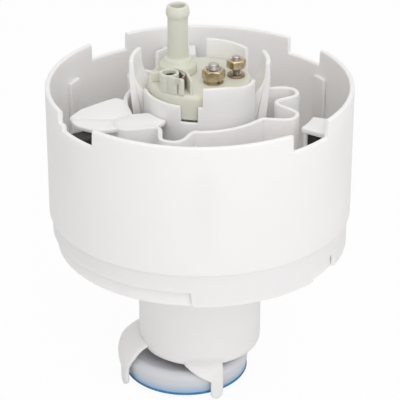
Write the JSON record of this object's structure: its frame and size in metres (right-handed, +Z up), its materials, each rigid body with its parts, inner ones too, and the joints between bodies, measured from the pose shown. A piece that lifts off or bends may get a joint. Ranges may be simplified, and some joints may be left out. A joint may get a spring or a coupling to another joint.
{
  "type": "fuel pump",
  "caption": "In-tank electric fuel pump held by a springy cage in an open round reservoir with a castellated rim, a neck, feet and an offset strainer.",
  "frame": {"origin": "on the pump axis, in the plane of the feet", "axes": "+Z up along the pump axis towards the outlet nipple, -Y is the front where the wide slot of the pump sleeve is, +X is the side of the terminal studs"},
  "size_m": [0.1228, 0.1228, 0.163],
  "materials": {
    "milky_plastic": "moulded natural acetal, satin",
    "cap_plastic": "moulded pale green-beige plastic, satin",
    "black_rubber": "dull black rubber",
    "steel": "drawn or turned steel",
    "spring_steel": "spring wire or strip",
    "zinc_brass": "yellow passivated nuts and washers",
    "tinned_strap": "tinned bronze strip, tarnished",
    "carbon": "pressed carbon",
    "ferrite": "sintered ferrite and laminated iron",
    "copper": "enamelled copper",
    "bronze": "sintered bronze",
    "cast_aluminium": "die cast",
    "strainer_plastic": "white-grey moulded plastic",
    "blue_screen": "fine woven blue screen"
  },
  "bodies": {
    "housing": {"outer_sleeve": "milky_plastic", "reservoir_pot": "milky_plastic", "spring_cage": "milky_plastic", "rubber_buffers": "black_rubber", "guide_ring": "black_rubber"},
    "pump": {"pump_sleeve": "milky_plastic", "rubber_liner": "black_rubber", "pump_can": "steel", "pump_cap": "cap_plastic", "outlet_nipple": "cap_plastic", "contact_strap": "tinned_strap", "choke_core": "ferrite", "stud_m5": "steel", "washer_m5": "zinc_brass", "lock_washer_m5": "steel", "nut_m5": "zinc_brass", "stud_m4": "steel", "washer_m4": "zinc_brass", "nut_m4": "zinc_brass", "check_spring": "spring_steel", "relief_spring": "spring_steel", "relief_plug": "zinc_brass", "brush_spring_left": "spring_steel", "brush_spring_right": "spring_steel", "magnets": "ferrite", "magnet_clips": "spring_steel", "upper_bush": "bronze", "lower_bush": "bronze", "pump_plate": "cast_aluminium", "inlet_cover": "cast_aluminium", "strainer_frame": "strainer_plastic", "strainer_screen": "blue_screen", "strainer_ribs": "strainer_plastic"},
    "rotor": {"shaft": "steel", "armature_core": "ferrite", "armature_windings": "copper", "commutator": "copper", "impeller": "carbon"},
    "check_valve": {"check_poppet": "black_rubber"},
    "relief_valve": {"relief_ball": "steel"},
    "brush_a": {"brush_left": "carbon"},
    "brush_b": {"brush_right": "carbon"}
  },
  "joints": [
    {"name": "pump_float", "type": "slide", "parent": "housing", "child": "pump", "axis": [0, 0, 1], "range_m": [-0.001, 0.001], "stiffness_N_per_m": 8000, "springref_m": 0.00064},
    {"name": "rotor_spin", "type": "hinge", "parent": "pump", "child": "rotor", "pos_m": [0, 0, 0.067], "axis": [0, 0, 1], "continuous": true},
    {"name": "check_lift", "type": "slide", "parent": "pump", "child": "check_valve", "axis": [0, 0, 1], "range_m": [0, 0.002], "stiffness_N_per_m": 150, "springref_m": -0.002, "deforming": ["check_spring"]},
    {"name": "relief_lift", "type": "slide", "parent": "pump", "child": "relief_valve", "axis": [0, 0, 1], "range_m": [0, 0.0015], "stiffness_N_per_m": 2000, "springref_m": -0.002, "deforming": ["relief_spring"]},
    {"name": "brush_a_lift", "type": "slide", "parent": "pump", "child": "brush_a", "axis": [0, 0, 1], "range_m": [0, 0.003], "stiffness_N_per_m": 120, "springref_m": -0.004, "deforming": ["brush_spring_left"]},
    {"name": "brush_b_lift", "type": "slide", "parent": "pump", "child": "brush_b", "axis": [0, 0, 1], "range_m": [0, 0.003], "stiffness_N_per_m": 120, "springref_m": -0.004, "deforming": ["brush_spring_right"]}
  ]
}
